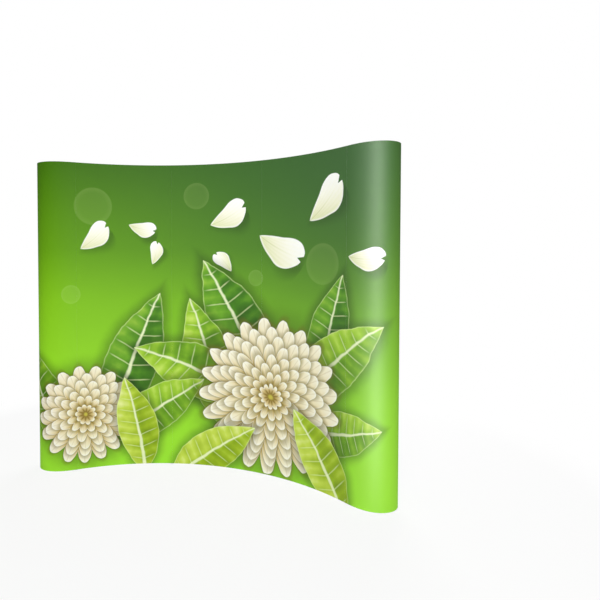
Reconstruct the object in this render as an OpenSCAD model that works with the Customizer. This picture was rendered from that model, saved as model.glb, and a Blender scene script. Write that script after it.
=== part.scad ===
// Curved pop up display backwall, three bays wide and three rows high: a folding scissor frame of
// tubes between hubs, locking arms, clip-on magnetic bars, hook caps and five hanging print panels.
// Z is up, the concave face looks along -Y, and the origin is on the floor under the middle.
// A column's local frame has X along the wall and Y away from the viewer, along the column's radius.

/* [Frame] */
// Turn of the wall from one column to the next
bay_angle = 27; // [22:0.5:30]
// Radius of the arc through the front hubs
front_radius = 1500; // [1300:5:1800]
// Distance from a front hub to the rear hub behind it
frame_depth = 253; // [230:1:300]
// Height of one row, hub to hub
level_pitch = 720; // [500:5:760]
// Height of the lowest hubs above the floor
hub_floor_height = 38; // [36:0.5:50]

/* [Tubes] */
// Outer diameter of the tubes
tube_d = 14; // [13:0.5:16]
// Wall of the tubes
tube_wall = 1; // [0.8:0.1:1.5]
// Space between two tubes where they cross
tube_gap = 2; // [1.6:0.1:3]
// Diameter of the pivot pins and rivets
pin_d = 4; // [3:0.1:5]
// Diameter of the pin heads
pin_head_d = 7.4; // [6:0.1:9]
// Height of a pin head
pin_head_h = 1.8; // [1:0.1:3]

/* [Hubs] */
// Side of the square hub body, seen from the front
hub_size = 34; // [32:0.5:38]
// Depth of the hub body behind its face plate
hub_depth = 20; // [18:0.5:24]
// Distance from the hub centre to the face plate's outer face
hub_face = 12; // [10:0.5:16]
// Height of the face plate
plate_h = 60; // [50:1:70]
// Thickness of the face plate
plate_t = 3.2; // [2.5:0.1:5]
// Distance from the hub centre to a tube's pin
pin_reach = 24.5; // [24:0.5:30]
// Thickness of one ear of a clevis
ear_t = 3; // [2:0.1:4]
// Thickness of a tube end's tongue
tongue_t = 6; // [4:0.1:7]
// Width of a tube end's tongue
tongue_w = 12; // [10:0.1:13]

/* [Locking arms] */
// Distance from the front hub to the catch
catch_at = 152; // [135:1:165]
// Diameter of the catch rod and of the arm
arm_d = 9; // [7:0.1:10]
// Length of the clip that drops over the catch
clip_l = 40; // [34:1:44]
// Width of the clip
clip_w = 18; // [16:0.5:20]
// Diameter of the cross pin that the clip hooks
catch_pin_d = 5; // [4:0.1:6]

/* [Magnetic bars] */
// Width of a bar
bar_w = 30; // [26:0.5:34]
// Depth of a bar
bar_depth = 12.2; // [10:0.1:15]
// Wall of a bar
bar_wall = 1.5; // [1:0.1:2]
// Height of the lower end of the bars above the floor
bar_floor_gap = 8; // [6:1:20]
// Distance from a hub down to the seam between two bars
seam_drop = 25; // [15:1:28]
// Thickness of the magnetic tape on a bar
tape_t = 1.5; // [1:0.1:2]
// Width of the magnetic tape on a bar
tape_w = 28; // [20:0.5:30]
// Width of the tongues inside the bars
tongue_bar_w = 18; // [12:0.5:22]

/* [Caps] */
// Width of a hook cap
cap_w = 59; // [50:1:66]
// How far a cap reaches past the hub, above it and below it
cap_over = 1.5; // [1:0.5:6]
// Width of the raised step between a cap's shoulders
step_w = 26; // [20:1:30]

/* [Panels] */
// Thickness of a print panel
panel_t = 1; // [0.6:0.1:2]
// Height of the panels' lower edge above the floor
panel_floor_gap = 8; // [5:1:30]
// Flat width of an end panel before it is bent
end_panel_w = 668; // [640:1:760]
// Gap between two panels that meet on a bar
panel_gap = 0.5; // [0.4:0.1:2]
// Width of the steel strip behind a panel's edge
strip_w = 12.5; // [8:0.5:13]
// Thickness of the steel strip
strip_t = 1; // [0.5:0.1:1.5]
// Depth of the hanging rail behind a panel's top edge
rail_t = 5; // [4:0.1:6]

/* [Hidden] */
COLUMNS = ["a", "b", "c", "d"];
BAYS = ["left", "centre", "right"];
LEVELS = 4;
LAST = len(COLUMNS) - 1;
TOP = LEVELS - 1;

fit = 0.05; // clearance of a pin in its hole
rest = 0.3; // gap between a moving piece and what it rests on
fine = 64; // fragments of the small rounds

cross_offset = (tube_d + tube_gap) / 2;
pin_r = pin_d / 2;
ear_r = tongue_w / 2 + 1;
ear_gap = tongue_t + 0.4;
ear_stack = ear_gap + 2 * ear_t;
ear_y = 4; // distance of the tubes' pins behind the hub centre
hub_back = hub_depth - hub_face + plate_t;
rear_pin_y = ear_y + 4; // the rear hubs' cross pins sit deeper, as their tubes leave steeper
collar_at = tongue_w / 2 + 8; // from a tube's pin to its end's collar
collar_l = 4;
plug_l = 18;
tube_from = collar_at + collar_l;

rear_radius = front_radius + frame_depth;
bar_front = hub_face + bar_depth + tape_t; // from a hub's centre to the tape's face
strip_back = bar_front + rest;
panel_back = strip_back + strip_t;
panel_front = panel_back + panel_t;

hub_top = hub_floor_height + TOP * level_pitch;
cap_reach = max(plate_h / 2, pin_reach + ear_r) + cap_over; // half the height of a cap
shoulder_z = hub_top + cap_reach;
rail_h = 5.4;
panel_top = shoulder_z + rest + rail_h + 1.3;
panel_h = panel_top - panel_floor_gap;
rail_start = step_w / 2 + 1.5; // a rail ends this far from the column's centre line
step_h = 6;

arm_pin_y = hub_back + 7; // the arm's hinge, measured from the rear hub's centre
arm_eye_r = 6;
arm_eye_w = arm_d + 1;
arm_swing_gap = 0.4;

// An end panel is clamped flat on its two bars and bends in between like a springy sheet.
front_lead = bar_w / 2 - panel_gap / 2;
rear_lead = bar_w;
bend_l = end_panel_w - front_lead - rear_lead;
bend_chord = frame_depth + 2 * panel_back + panel_t;
BEND_STEPS = 56;

// heading of the bent sheet at the fraction u of its length, flatter at the ends where c is larger
function heading(u, c) = 180 * u - 90 * c / PI * sin(360 * u);
function chord(c, n = BEND_STEPS) =
    bend_l / n * [for (i = [0 : n - 1]) sin(heading((i + 0.5) / n, c))] * [for (i = [0 : n - 1]) 1];
function solve_bend(lo, hi, n) =
    n == 0 ? (lo + hi) / 2 :
    chord((lo + hi) / 2) > bend_chord ? solve_bend((lo + hi) / 2, hi, n - 1) :
    solve_bend(lo, (lo + hi) / 2, n - 1);
bend_c = solve_bend(-2, 2, 24);
bend_path = [
    for (i = 0, p = [bar_w / 2, -panel_back - panel_t / 2]; i <= BEND_STEPS;
        p = p + bend_l / BEND_STEPS * [cos(heading((i + 0.5) / BEND_STEPS, bend_c)),
            sin(heading((i + 0.5) / BEND_STEPS, bend_c))], i = i + 1) p];
// the bent sheet's mid line, moved inwards by d
function bend_offset(d) = [
    for (i = [0 : BEND_STEPS]) let(a = heading(i / BEND_STEPS, bend_c))
        bend_path[i] + d * [-sin(a), cos(a)]];

function phi(i) = (i - LAST / 2) * bay_angle;
function level_z(j) = hub_floor_height + j * level_pitch;
// a point of column i's local frame, seen from above, before the whole is centred
function plan(i, x, r) = [x * cos(phi(i)) + r * sin(phi(i)), r * cos(phi(i)) - x * sin(phi(i))];
// nearest point of the end panels and farthest point of the rear hubs, for the origin
nose_y = min([for (p = bend_offset(-panel_t / 2)) plan(LAST, p[0], front_radius + p[1])[1]]);
back_y = plan(2, -hub_size / 2 - 1, rear_radius + hub_face)[1];
centre_y = -(nose_y + back_y) / 2;
function place(i, x, r, z) = concat(plan(i, x, r) + [0, centre_y], z);

function front_cross_pin(i, side, z) = place(i, side * pin_reach, front_radius + ear_y, z);
function rear_cross_pin(i, side, z) = place(i, side * (pin_reach - 1), rear_radius - rear_pin_y, z);
function column_pin(i, r, side, j, up) =
    place(i, side * cross_offset, r, level_z(j) + up * pin_reach);
function front_row_pin(i, side, j, up) = column_pin(i, front_radius + ear_y, side, j, up);
function rear_row_pin(i, side, j, up) = column_pin(i, rear_radius - ear_y, side, j, up);

ALUMINIUM = [0.80, 0.81, 0.83];
GREY_PLASTIC = [0.72, 0.72, 0.73];
BLACK_PLASTIC = [0.06, 0.06, 0.06];
DARK_STEEL = [0.25, 0.25, 0.26];
PRINT_GREEN = [0.42, 0.66, 0.16];

// ---- placing ----

// children drawn around a front hub's centre, with Y pointing to the rear hub
module at_front(i, j) {
    translate(place(i, 0, front_radius, level_z(j)))
        rotate([0, 0, -phi(i)])
            children();
}

// children drawn around a rear hub's centre, with Y pointing to the front hub
module at_rear(i, j) {
    translate(place(i, 0, rear_radius, level_z(j)))
        rotate([0, 0, 180 - phi(i)])
            children();
}

// children drawn from the origin along +Z, laid from point p towards point q
module along(p, q) {
    v = q - p;
    translate(p)
        rotate([0, acos(v[2] / norm(v)), atan2(v[1], v[0])])
            children();
}

module both_ends(p, q) {
    along(p, q)
        children();
    along(q, p)
        children();
}

// ---- hubs ----

// one clevis: a block with a round end about the pin, slotted for a tube end's tongue
module clevis(reach, from) {
    difference() {
        translate([0, 0, -ear_stack / 2])
            linear_extrude(ear_stack)
                difference() {
                    union() {
                        translate([from, -ear_r])
                            square([reach - from, 2 * ear_r]);
                        translate([reach, 0])
                            circle(ear_r, $fn = fine);
                    }
                    translate([reach, 0])
                        circle(pin_r + fit, $fn = fine);
                }
        translate([hub_size / 2, -ear_r - 1, -ear_gap / 2])
            cube([reach, 2 * ear_r + 2, ear_gap]);
    }
}

// cross ears at the two sides and row ears above and below, all a tube's offset from the centre
module hub_ears(cross_reach, cross_y) {
    from = hub_size / 2 - 2;
    for (s = [-1, 1]) {
        translate([0, cross_y, s * cross_offset])
            rotate([0, 0, s > 0 ? 0 : 180])
                clevis(cross_reach, from);
        translate([s * cross_offset, ear_y, 0])
            rotate([0, -s * 90, 0])
                clevis(pin_reach, from);
    }
}

// flat children in the hub's X and Z, drawn solid from the depth y to y + t
module facing(y, t) {
    translate([0, y + t, 0])
        rotate([90, 0, 0])
            linear_extrude(t)
                children();
}

module chamfered(half_w, half_h, cut) {
    polygon([
        [-half_w, cut - half_h], [cut - half_w, -half_h], [half_w - cut, -half_h],
        [half_w, cut - half_h], [half_w, half_h - cut], [half_w - cut, half_h],
        [cut - half_w, half_h], [-half_w, half_h - cut]]);
}

// plate that the bar lies against, with prongs beside the bar, a pocket that ribs and a screw
// boss divide, and two slots
module face_plate() {
    half_h = plate_h / 2;
    pocket_w = bar_w / 2 - bar_wall - 1;
    pocket_h = half_h - 3;
    pocket_t = 1.2;
    boss_r = 5.5;
    rib_t = 1.8;
    screw_r = 1.6;
    prong_t = 1.6;
    difference() {
        facing(-hub_face, plate_t)
            chamfered(hub_size / 2 + 1, half_h, 3);
        facing(-hub_face - 1, pocket_t + 1)
            difference() {
                chamfered(pocket_w, pocket_h, 2);
                circle(boss_r, $fn = fine);
                square([2 * pocket_w, rib_t], center = true);
                square([rib_t, 2 * pocket_h], center = true);
            }
        facing(-hub_face - 1, plate_t + 2)
            for (s = [-1, 1])
                translate([0, s * (hub_size / 2 + 4.5)])
                    square([10, 3], center = true);
        facing(-hub_face - 1, plate_t + 2)
            circle(screw_r, $fn = fine);
    }
    for (s = [-1, 1])
        translate([s * (bar_w / 2 + 0.1 + prong_t / 2), -hub_face - 2, 0])
            cube([prong_t, 5, 14], center = true);
}

module hub_core() {
    facing(hub_back - hub_depth, hub_depth)
        chamfered(hub_size / 2, hub_size / 2, 4);
    face_plate();
}

// front hub with the socket of its catch rod and a small hook for tying the folded frame
module front_hub() {
    boss_r = arm_d / 2 + 3.5;
    color(GREY_PLASTIC)
        difference() {
            union() {
                hub_core();
                hub_ears(pin_reach, ear_y);
                translate([0, hub_back + 8, 0])
                    rotate([90, 0, 0])
                        cylinder(h = 10, r = boss_r, $fn = fine);
                translate([cross_offset - 2, 0, -hub_size / 2])
                    rotate([90, 0, 90])
                        linear_extrude(4)
                            polygon([[-1, 1], [-1, -11], [13, -11], [13, -6], [10.5, -6],
                                [10.5, -8.5], [4, -8.5], [4, 1]]);
            }
            translate([0, hub_back + 9, 0])
                rotate([90, 0, 0])
                    cylinder(h = 15, r = arm_d / 2 + fit, $fn = fine);
        }
}

// rear hub with the two ears of its locking arm
module rear_hub() {
    arm_ear_r = arm_eye_r + 0.5;
    ear_from = arm_eye_w / 2 + arm_swing_gap;
    color(GREY_PLASTIC) {
        difference() {
            union() {
                hub_core();
                hub_ears(pin_reach - 1, rear_pin_y);
                for (s = [-1, 1])
                    translate([s > 0 ? ear_from : -ear_from - ear_t, 0, 0])
                        rotate([90, 0, 90])
                            linear_extrude(ear_t) {
                                translate([hub_back - 1, -arm_ear_r])
                                    square([arm_pin_y - hub_back + 1, 2 * arm_ear_r]);
                                translate([arm_pin_y, 0])
                                    circle(arm_ear_r, $fn = fine);
                            }
            }
            translate([-hub_size / 2, arm_pin_y, 0])
                rotate([0, 90, 0])
                    cylinder(h = hub_size, r = pin_r + fit, $fn = fine);
        }
    }
}

module front_hubs(i) {
    for (j = [0 : TOP])
        at_front(i, j)
            front_hub();
}

module rear_hubs(i) {
    for (j = [0 : TOP])
        at_rear(i, j)
            rear_hub();
}

// ---- tubes and their ends ----

// hollow tube between two pins, drilled where it crosses its partner; turn sets the drill's side
module tube(p, q, cross_at, turn) {
    color(ALUMINIUM)
        along(p, q)
            difference() {
                translate([0, 0, tube_from])
                    cylinder(h = norm(q - p) - 2 * tube_from, d = tube_d, $fn = fine);
                cylinder(h = norm(q - p), d = tube_d - 2 * tube_wall, $fn = fine);
                translate([0, 0, cross_at * norm(q - p)])
                    rotate(turn)
                        cylinder(h = 2 * tube_d, r = pin_r + fit, center = true, $fn = fine);
            }
}

// share of a cross tube's length, from its front end, at which it meets its partner
function cross_share(i) =
    let(f = norm(front_cross_pin(i, 1, 0) - front_cross_pin(i + 1, -1, 0)),
        r = norm(rear_cross_pin(i, 1, 0) - rear_cross_pin(i + 1, -1, 0)))
    f / (f + r);

module cross_tubes(i) {
    for (j = [0 : TOP]) {
        up = level_z(j) + cross_offset;
        down = level_z(j) - cross_offset;
        tube(front_cross_pin(i, 1, up), rear_cross_pin(i + 1, -1, up), cross_share(i), [0, 90, 0]);
        tube(front_cross_pin(i + 1, -1, down), rear_cross_pin(i, 1, down), cross_share(i),
            [0, 90, 0]);
    }
}

module column_tubes(i) {
    for (j = [0 : TOP - 1]) {
        tube(front_row_pin(i, 1, j, 1), rear_row_pin(i, 1, j + 1, -1), 0.5, [90, 0, 0]);
        tube(front_row_pin(i, -1, j + 1, -1), rear_row_pin(i, -1, j, 1), 0.5, [90, 0, 0]);
    }
}

// moulded end: a plug in the tube, a collar and a tongue on the pin, which lies along X
module tube_end() {
    tongue_r = tongue_w / 2;
    difference() {
        union() {
            rotate([0, 90, 0])
                cylinder(h = tongue_t, r = tongue_r, center = true, $fn = fine);
            translate([-tongue_t / 2, -tongue_r, 0])
                cube([tongue_t, tongue_w, collar_at + 1]);
            translate([0, 0, collar_at])
                cylinder(h = collar_l, d = tube_d, $fn = fine);
            translate([0, 0, collar_at + 1])
                cylinder(h = plug_l, d = tube_d - 2 * tube_wall - 2 * fit, $fn = fine);
        }
        rotate([0, 90, 0])
            cylinder(h = 2 * tongue_t, r = pin_r + fit, center = true, $fn = fine);
    }
}

module tube_ends() {
    color(GREY_PLASTIC) {
        for (i = [0 : LAST - 1], j = [0 : TOP]) {
            up = level_z(j) + cross_offset;
            down = level_z(j) - cross_offset;
            both_ends(front_cross_pin(i, 1, up), rear_cross_pin(i + 1, -1, up))
                tube_end();
            both_ends(front_cross_pin(i + 1, -1, down), rear_cross_pin(i, 1, down))
                tube_end();
        }
        for (i = [0 : LAST], j = [0 : TOP - 1]) {
            both_ends(front_row_pin(i, 1, j, 1), rear_row_pin(i, 1, j + 1, -1))
                rotate([0, 0, 90])
                    tube_end();
            both_ends(front_row_pin(i, -1, j + 1, -1), rear_row_pin(i, -1, j, 1))
                rotate([0, 0, 90])
                    tube_end();
        }
    }
}

// ---- pins ----

// headed pin along Z, its shank h long between the heads
module rivet(h) {
    head_r = pin_head_d / 2;
    rotate_extrude($fn = fine)
        polygon([
            [0, -h / 2 - pin_head_h], [head_r * 0.7, -h / 2 - pin_head_h],
            [head_r, -h / 2 - pin_head_h * 0.4], [head_r, -h / 2], [pin_r, -h / 2],
            [pin_r, h / 2], [head_r, h / 2], [head_r, h / 2 + pin_head_h * 0.4],
            [head_r * 0.7, h / 2 + pin_head_h], [0, h / 2 + pin_head_h]]);
}

// pivot along Z through two crossing tubes, with a washer between them and long dark heads
module cross_pivot() {
    h = cross_offset + tube_d / 2 + fit;
    head_r = pin_head_d / 2;
    washer_r = tube_d * 0.4;
    washer_h = tube_gap / 2 - fit;
    rotate_extrude($fn = fine)
        polygon([
            [0, -h - pin_head_h - 1], [head_r * 0.8, -h - pin_head_h - 1],
            [head_r, -h - pin_head_h], [head_r, -h], [pin_r, -h], [pin_r, -washer_h],
            [washer_r, -washer_h], [washer_r, washer_h], [pin_r, washer_h], [pin_r, h],
            [head_r, h], [head_r, h + pin_head_h], [head_r * 0.8, h + pin_head_h + 1],
            [0, h + pin_head_h + 1]]);
}

module cross_pivots() {
    color(DARK_STEEL)
        for (i = [0 : LAST - 1], j = [0 : TOP]) {
            p = front_cross_pin(i, 1, level_z(j));
            q = rear_cross_pin(i + 1, -1, level_z(j));
            translate(p + (q - p) * cross_share(i))
                cross_pivot();
        }
}

module column_pivots() {
    color(DARK_STEEL)
        for (i = [0 : LAST], j = [0 : TOP - 1])
            translate((front_row_pin(i, 0, j, 1) + rear_row_pin(i, 0, j + 1, -1)) / 2)
                rotate([0, 90, -phi(i)])
                    cross_pivot();
}

// the four rivets of one hub, in the hub's own frame
module hub_pins(cross_reach, cross_y, down_ear, up_ear) {
    h = ear_stack + 2 * fit;
    for (s = [-1, 1])
        translate([s * cross_reach, cross_y, s * cross_offset])
            rivet(h);
    for (s = [-1, 1])
        if (s < 0 ? down_ear : up_ear)
            translate([s * cross_offset, ear_y, s * pin_reach])
                rotate([0, 90, 0])
                    rivet(h);
}

module hub_rivets() {
    color(DARK_STEEL)
        for (i = [0 : LAST], j = [0 : TOP]) {
            at_front(i, j)
                hub_pins(pin_reach, ear_y, true, j < TOP);
            at_rear(i, j)
                hub_pins(pin_reach - 1, rear_pin_y, true, j < TOP);
        }
}

// ---- feet ----

// pad on the floor with a tongue in the lowest hub's lower clevis
module feet() {
    drop = hub_floor_height - pin_reach;
    pad_h = 5;
    pad_r = 15;
    color(GREY_PLASTIC)
        for (i = [0 : LAST], side = [0, 1])
            translate(place(i, 0, side == 0 ? front_radius : rear_radius, 0))
                rotate([0, 0, side * 180 - phi(i)])
                    translate([-cross_offset, ear_y, 0])
                        difference() {
                            union() {
                                rotate_extrude($fn = fine)
                                    polygon([[0, 0], [pad_r - 1, 0], [pad_r, 1],
                                        [pad_r, pad_h - 2], [pad_r - 3, pad_h], [0, pad_h]]);
                                translate([-tongue_t / 2, -tongue_w / 2, pad_h - 1])
                                    cube([tongue_t, tongue_w, drop - pad_h + 1]);
                                translate([0, 0, drop])
                                    rotate([0, 90, 0])
                                        cylinder(h = tongue_t, d = tongue_w, center = true,
                                            $fn = fine);
                            }
                            translate([0, 0, drop])
                                rotate([0, 90, 0])
                                    cylinder(h = 2 * tongue_t, r = pin_r + fit, center = true,
                                        $fn = fine);
                        }
}

// ---- locking arms ----

// rod fixed in the front hub, with a cross pin near its tip for the clip
module catch_rod() {
    from = hub_back - 5;
    tip = catch_at + clip_l / 2 - 6;
    translate([0, from, 0])
        rotate([-90, 0, 0])
            rotate_extrude($fn = fine)
                polygon([[0, 0], [arm_d / 2, 0], [arm_d / 2, tip - from - 2],
                    [arm_d / 2 - 2, tip - from], [0, tip - from]]);
    translate([0, catch_at, 0])
        rotate([0, 90, 0])
            cylinder(h = clip_w + 1, d = catch_pin_d, center = true, $fn = fine);
}

module catch_rods() {
    color(ALUMINIUM)
        for (i = [0 : LAST], j = [0 : TOP])
            at_front(i, j)
                catch_rod();
}

module arm_pins() {
    color(DARK_STEEL)
        for (i = [0 : LAST], j = [0 : TOP])
            at_rear(i, j)
                translate([0, arm_pin_y, 0])
                    rotate([0, 90, 0])
                        rivet(arm_eye_w + 2 * arm_swing_gap + 2 * ear_t + 2 * fit);
}

// arm in the rear hub's frame: eye, rod and a clip that drops over the catch from above
module lock_arm() {
    centre = frame_depth - catch_at;
    from = centre - clip_l / 2;
    wall = 4;
    below = 6.5;
    above = 9.5;
    slot_w = arm_d + 2 * 0.7;
    slot_top = arm_d / 2 + 0.7;
    hook_w = catch_pin_d + 1.4;
    hook_top = catch_pin_d / 2 + rest;
    color(GREY_PLASTIC)
        difference() {
            union() {
                translate([0, arm_pin_y, 0])
                    rotate([0, 90, 0])
                        cylinder(h = arm_eye_w, r = arm_eye_r, center = true, $fn = fine);
                translate([0, arm_pin_y, 0])
                    rotate([-90, 0, 0])
                        cylinder(h = from - arm_pin_y + 1, d = arm_d, $fn = fine);
                translate([-clip_w / 2, from, -below])
                    cube([clip_w, clip_l, below + above]);
                // finger tab that leans back over the arm
                translate([-clip_w / 2 + 2, from, above])
                    rotate([90, 0, 90])
                        linear_extrude(clip_w - 4)
                            polygon([[0, -1], [6, -1], [5, 0], [-6, 12], [-8.2, 10.6], [0, 0.5]]);
            }
            translate([-slot_w / 2, from + wall, -below - 1])
                cube([slot_w, clip_l, below + 1 + slot_top]);
            translate([-clip_w, centre - hook_w / 2, -below - 1])
                cube([2 * clip_w, hook_w, below + 1 + hook_top]);
            translate([-clip_w, from + clip_l - 8, slot_top + 1.2])
                rotate([30, 0, 0])
                    cube([2 * clip_w, 14, 12]);
            translate([0, arm_pin_y, 0])
                rotate([0, 90, 0])
                    cylinder(h = 2 * arm_d, r = pin_r + fit, center = true, $fn = fine);
        }
}

// ---- magnetic bars ----

function bar_low(j) = j == 0 ? bar_floor_gap : level_z(j) - seam_drop;
function bar_high(j) = j == TOP - 1 ? hub_top - cap_reach : level_z(j + 1) - seam_drop;
seam_gap = 0.4;

// three channel lengths in a hub's frame at floor level, open towards the hub
module bar_stack() {
    for (j = [0 : TOP - 1])
        translate([0, 0, bar_low(j) + seam_gap])
            linear_extrude(bar_high(j) - bar_low(j) - seam_gap)
                polygon([
                    [-bar_w / 2, -hub_face], [-bar_w / 2, -hub_face - bar_depth],
                    [bar_w / 2, -hub_face - bar_depth], [bar_w / 2, -hub_face],
                    [bar_w / 2 - bar_wall, -hub_face],
                    [bar_w / 2 - bar_wall, -hub_face - bar_depth + bar_wall],
                    [bar_wall - bar_w / 2, -hub_face - bar_depth + bar_wall],
                    [bar_wall - bar_w / 2, -hub_face]]);
}

module tape_stack() {
    for (j = [0 : TOP - 1])
        translate([-tape_w / 2, -bar_front, bar_low(j) + seam_gap])
            cube([tape_w, tape_t, bar_high(j) - bar_low(j) - seam_gap]);
}

// tongue with round ends in a bar's channel, between two heights in a hub's frame
module bar_tongue(low, high, depth) {
    r = tongue_bar_w / 2;
    facing(-hub_face - bar_depth + bar_wall + 0.2, depth) {
        translate([-r, low + r])
            square([2 * r, high - low - 2 * r]);
        for (z = [low + r, high - r])
            translate([0, z])
                circle(r, $fn = fine);
    }
}

// tongues that join the lengths inside the channel, just below the middle hubs
module connector_stack() {
    above = 14;
    below = 40;
    for (j = [1 : TOP - 1])
        bar_tongue(level_z(j) - seam_drop - below, level_z(j) - seam_drop + above,
            bar_depth - bar_wall - 1);
}

// studs in the channels: each stands on a hub's face plate and carries its length of bar
module stud_stack() {
    r = 5;
    from = -hub_face - bar_depth + bar_wall + fit;
    l = bar_depth - bar_wall + plate_t + 1 - fit;
    for (j = [0 : TOP - 1])
        translate([0, from, level_z(j) + plate_h / 2 + r + fit])
            rotate([-90, 0, 0])
                rotate_extrude($fn = fine)
                    polygon([[0, 0], [r, 0], [r, l - 1], [r - 1, l], [0, l]]);
}

// a column's place at floor level, Y to the rear
module column_front(i) {
    translate(place(i, 0, front_radius, 0))
        rotate([0, 0, -phi(i)])
            children();
}

module column_rear(i) {
    translate(place(i, 0, rear_radius, 0))
        rotate([0, 0, 180 - phi(i)])
            children();
}

module on_all_bars() {
    for (i = [0 : LAST])
        column_front(i)
            children();
    for (i = [0, LAST])
        column_rear(i)
            children();
}

module front_bars(i) {
    color(ALUMINIUM)
        column_front(i)
            bar_stack();
}

module rear_bars() {
    color(ALUMINIUM)
        for (i = [0, LAST])
            column_rear(i)
                bar_stack();
}

module magnetic_tapes() {
    color([0.17, 0.11, 0.10])
        on_all_bars()
            tape_stack();
}

module bar_connectors() {
    color(BLACK_PLASTIC)
        on_all_bars()
            connector_stack();
}

module bar_studs() {
    color(BLACK_PLASTIC)
        on_all_bars()
            stud_stack();
}

// ---- hook caps ----

// cap over the top hub: a front plate, a lip that reaches back over the hub, two shoulders that
// the panels' rails hang on, a raised step with ears between them, and a tongue in the bar
module hook_cap() {
    half = cap_w / 2;
    step = step_w / 2;
    chamfer = 8;
    front = -bar_front + 0.5;
    plate = 5;
    lip = 4;
    r = cap_reach;
    under = r - cap_over + rest;
    color(BLACK_PLASTIC) {
        intersection() {
            translate([0, lip + 1, 0])
                rotate([90, 0, 0])
                    linear_extrude(lip + 1 - front)
                        polygon([
                            [-half, chamfer - r], [chamfer - half, -r], [half - chamfer, -r],
                            [half, chamfer - r], [half, r - chamfer], [half - chamfer, r],
                            [step, r], [step, r + step_h], [step - 4, r + step_h],
                            [step - 6, r + step_h - 1.5], [6 - step, r + step_h - 1.5],
                            [4 - step, r + step_h], [-step, r + step_h], [-step, r],
                            [chamfer - half, r], [-half, r - chamfer]]);
            translate([-half, 0, 0])
                rotate([90, 0, 90])
                    linear_extrude(cap_w)
                        polygon([
                            [front, -r], [front + plate, -r], [front + plate, under],
                            [lip, under], [lip, r + 1.5], [front + plate, r + step_h],
                            [front, r + step_h - 2]]);
        }
        // boss that seats on the hub's face plate
        translate([-bar_w / 2 + 0.5, front + plate - 1, -20])
            cube([bar_w - 1, -hub_face - front - plate + 1, 44]);
        // tongue in the top of the bar
        bar_tongue(-r - 44, -r + 10, 4.5);
    }
}

module front_caps() {
    for (i = [0 : LAST])
        at_front(i, TOP)
            hook_cap();
}

module rear_caps() {
    for (i = [0, LAST])
        at_rear(i, TOP)
            hook_cap();
}

// ---- front panels ----

// ring sector about the wall's centre of curvature: from radius r outwards by t, across bay i
// from the distance x0 to the distance x1 along the arc, measured from the bay's left column
module bay_arc(i, r, t, x0, x1, z, h) {
    start = 90 - phi(i) - x1 / r * 180 / PI;
    translate([0, centre_y, z])
        rotate([0, 0, start])
            rotate_extrude(angle = (x1 - x0) / r * 180 / PI, $fn = 720)
                translate([r, 0])
                    square([t, h]);
}

function bay_arc_length(r) = bay_angle * PI / 180 * r;

module front_panel(i) {
    r = front_radius - panel_front;
    color(PRINT_GREEN)
        bay_arc(i, r, panel_t, panel_gap / 2, bay_arc_length(r) - panel_gap / 2,
            panel_floor_gap, panel_h);
}

strip_in = 1.5; // a steel strip lies this far in from its panel's edge
strip_low = panel_floor_gap + 4;
strip_high = shoulder_z - 4;
foot_rail_h = 16;

// steel strips behind both edges, the hanging rail at the top and the stiffener at the foot
module front_panel_rails(i) {
    r = front_radius - panel_back;
    whole = bay_arc_length(r);
    foot_from = bar_w / 2 + 6;
    color([0.85, 0.85, 0.84]) {
        bay_arc(i, r, strip_t, strip_in, strip_in + strip_w, strip_low, strip_high - strip_low);
        bay_arc(i, r, strip_t, whole - strip_in - strip_w, whole - strip_in, strip_low,
            strip_high - strip_low);
        bay_arc(i, r, rail_t, rail_start, whole - rail_start, shoulder_z + rest, rail_h);
        bay_arc(i, r, 2, foot_from, whole - foot_from, strip_low, foot_rail_h);
    }
}

// ---- end panels ----

// children in the last column's local frame with the front hub line at y = 0; the left end mirrors it
module at_end(left) {
    mirror([left ? 1 : 0, 0, 0])
        translate(place(LAST, 0, front_radius, 0))
            rotate([0, 0, -phi(LAST)])
                children();
}

// band inside the end panel's sheet: between the offsets d0 and d1 inwards of its mid line, with
// straight runs on to x_front at the front bar and to x_rear at the rear bar
module end_band(d0, d1, x_front, x_rear) {
    front_y = bend_path[0][1];
    rear_y = front_y + bend_chord;
    polygon(concat(
        [[x_front, front_y + d0]], bend_offset(d0), [[x_rear, rear_y - d0]],
        [[x_rear, rear_y - d1]], [for (i = [BEND_STEPS : -1 : 0]) bend_offset(d1)[i]],
        [[x_front, front_y + d1]]));
}

module end_panel(left) {
    color(PRINT_GREEN)
        at_end(left)
            translate([0, 0, panel_floor_gap])
                linear_extrude(panel_h)
                    end_band(-panel_t / 2, panel_t / 2, panel_gap / 2, -bar_w / 2);
}

module end_panel_rails(left) {
    y0 = -panel_back;
    y1 = frame_depth + panel_back;
    rear_strip_w = 2 * strip_w;
    foot_from = bar_w / 2 + 6;
    color([0.85, 0.85, 0.84])
        at_end(left) {
            translate([strip_in, y0, strip_low])
                cube([strip_w, strip_t, strip_high - strip_low]);
            translate([-rear_strip_w / 2, y1 - strip_t, strip_low])
                cube([rear_strip_w, strip_t, strip_high - strip_low]);
            translate([0, 0, shoulder_z + rest])
                linear_extrude(rail_h)
                    end_band(panel_t / 2, panel_t / 2 + rail_t, rail_start, rail_start);
            translate([0, 0, strip_low])
                linear_extrude(foot_rail_h)
                    intersection() {
                        end_band(panel_t / 2, panel_t / 2 + 2, 0, 0);
                        translate([foot_from, -frame_depth])
                            square([end_panel_w, 3 * frame_depth]);
                    }
        }
}

// ---- the nodes ----

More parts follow.
